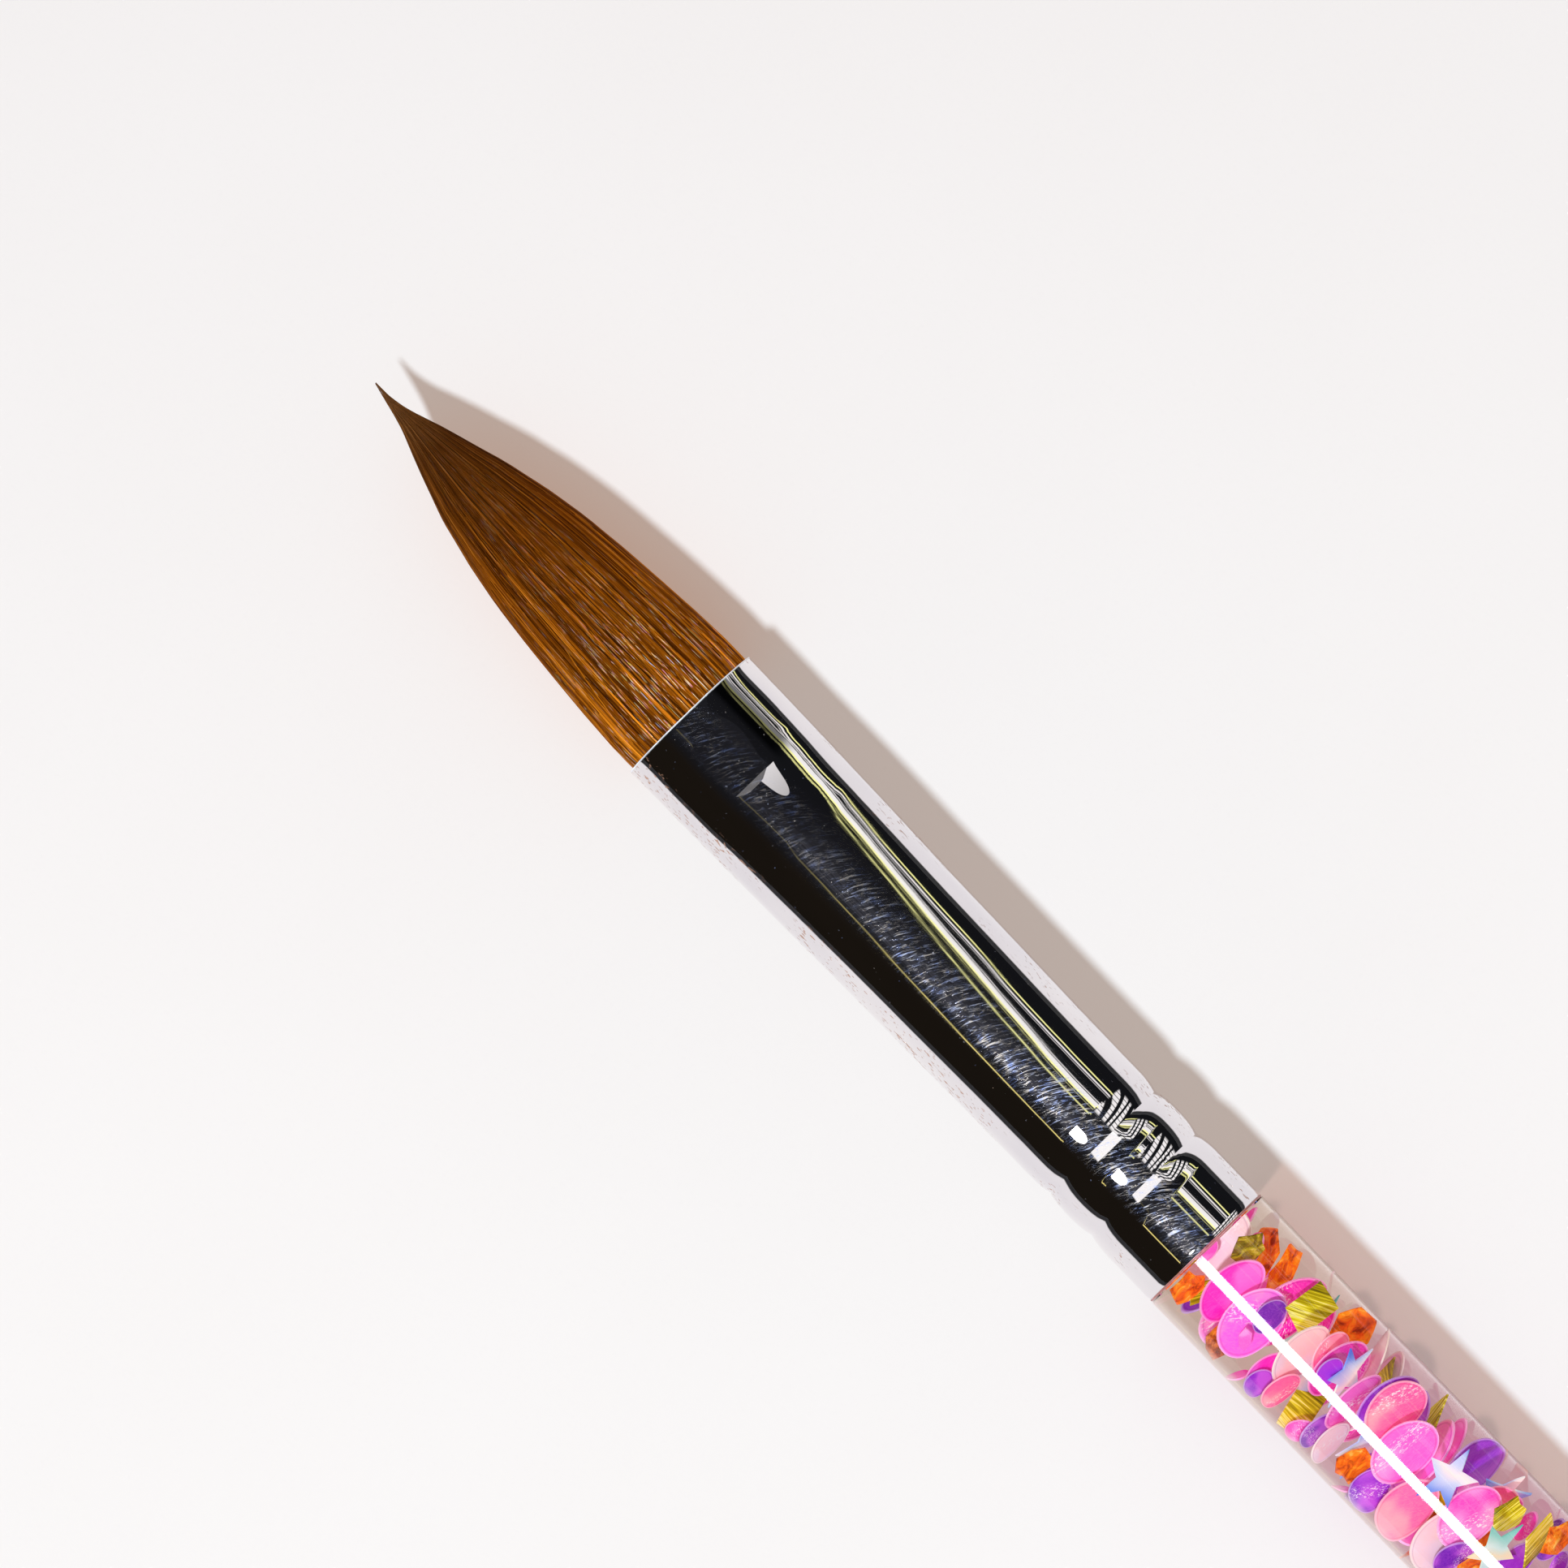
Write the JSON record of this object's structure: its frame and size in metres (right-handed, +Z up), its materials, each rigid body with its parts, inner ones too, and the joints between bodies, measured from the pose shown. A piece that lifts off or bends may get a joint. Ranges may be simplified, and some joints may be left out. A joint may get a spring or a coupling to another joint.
{
  "type": "acrylic nail brush",
  "caption": "Round pointed nail brush with a lightly pinched, crimped chrome ferrule and a clear tube handle filled with loose sequins.",
  "frame": {"origin": "on the brush's axis at the shoulder, where the ferrule meets the clear handle tube", "axes": "+X along the axis from the shoulder to the tail, so the hair tip points to -X; +Z up; Y along the wide side of the pinched ferrule mouth"},
  "size_m": [0.1843, 0.0086, 0.008],
  "materials": {
    "hair": "fine straight animal-type hair, dark brown at the tip to golden brown at the ferrule",
    "thread": "plain binding thread",
    "epoxy": "cured glue, amber",
    "chromed_sheet": "bright plated thin sheet metal",
    "seam_glue": "thin brown-pink glue line",
    "clear_tube": "polished clear acrylic",
    "clear_cement": "clear cement film",
    "sequin_magenta": "thin coated film, pearly, magenta",
    "sequin_pink": "thin coated film, pearly, pink",
    "sequin_violet": "thin coated film, pearly, violet",
    "sequin_pearl": "thin coated film, pearly, pearl",
    "sequin_salmon": "thin coated film, pearly, salmon",
    "sequin_orchid": "thin coated film, pearly, orchid",
    "foil_copper": "thin reflective foil, copper",
    "foil_gold": "thin reflective foil, gold",
    "foil_olive": "thin reflective foil, olive",
    "foil_orange": "thin reflective foil, orange",
    "foil_mint": "thin reflective foil, mint",
    "foil_silver": "thin reflective foil, silver"
  },
  "bodies": {
    "handle": {"ferrule": "chromed_sheet", "front_cement": "clear_cement", "front_plug": "clear_tube", "hair_root": "hair", "handle_tube": "clear_tube", "rear_cement": "clear_cement", "rear_plug": "clear_tube", "root_glue": "epoxy", "root_thread": "thread", "shoulder_glue": "seam_glue"},
    "tuft_base": {"hair_base": "hair"},
    "tuft_belly": {"hair_belly": "hair"},
    "tuft_tip": {"hair_tip": "hair"},
    "fill": {"disc15_magenta": "sequin_magenta", "disc15_pink": "sequin_pink", "disc15_violet": "sequin_violet", "disc1_magenta": "sequin_magenta", "disc1_pink": "sequin_pink", "disc1_violet": "sequin_violet", "disc2_magenta": "sequin_magenta", "disc2_pearl": "sequin_pearl", "disc2_pink": "sequin_pink", "disc2_salmon": "sequin_salmon", "disc2_violet": "sequin_violet", "disc3_magenta": "sequin_magenta", "disc3_orchid": "sequin_orchid", "disc3_pearl": "sequin_pearl", "disc3_pink": "sequin_pink", "disc3_salmon": "sequin_salmon", "disc3_violet": "sequin_violet", "flake_copper": "foil_copper", "flake_gold": "foil_gold", "flake_olive": "foil_olive", "flake_orange": "foil_orange", "hexagon_orange": "foil_orange", "petal_pink": "sequin_pink", "square_gold": "foil_gold", "star_mint": "foil_mint", "star_silver": "foil_silver"}
  },
  "joints": [
    {"name": "tuft_press_flex", "type": "hinge", "parent": "handle", "child": "tuft_base", "pos_m": [-0.0422, 0, 0], "axis": [0, 1, 0], "range_deg": [-12, 12], "stiffness_Nm_per_rad": 0.0004},
    {"name": "tuft_side_flex", "type": "hinge", "parent": "tuft_base", "child": "tuft_belly", "pos_m": [-0.0475, 0, 0], "axis": [0, 0, 1], "range_deg": [-14, 14], "stiffness_Nm_per_rad": 0.0003},
    {"name": "tip_press_flex", "type": "hinge", "parent": "tuft_belly", "child": "tuft_tip", "pos_m": [-0.0535, 0, 0], "axis": [0, 1, 0], "range_deg": [-18, 18], "stiffness_Nm_per_rad": 0.0001},
    {"name": "fill_slide", "type": "slide", "parent": "handle", "child": "fill", "axis": [1, 0, 0], "range_m": [-0.0014, 0.0042]}
  ],
  "couplings": [
    {"joint": "tip_press_flex", "follows": "tuft_press_flex", "ratio": 1.5}
  ]
}
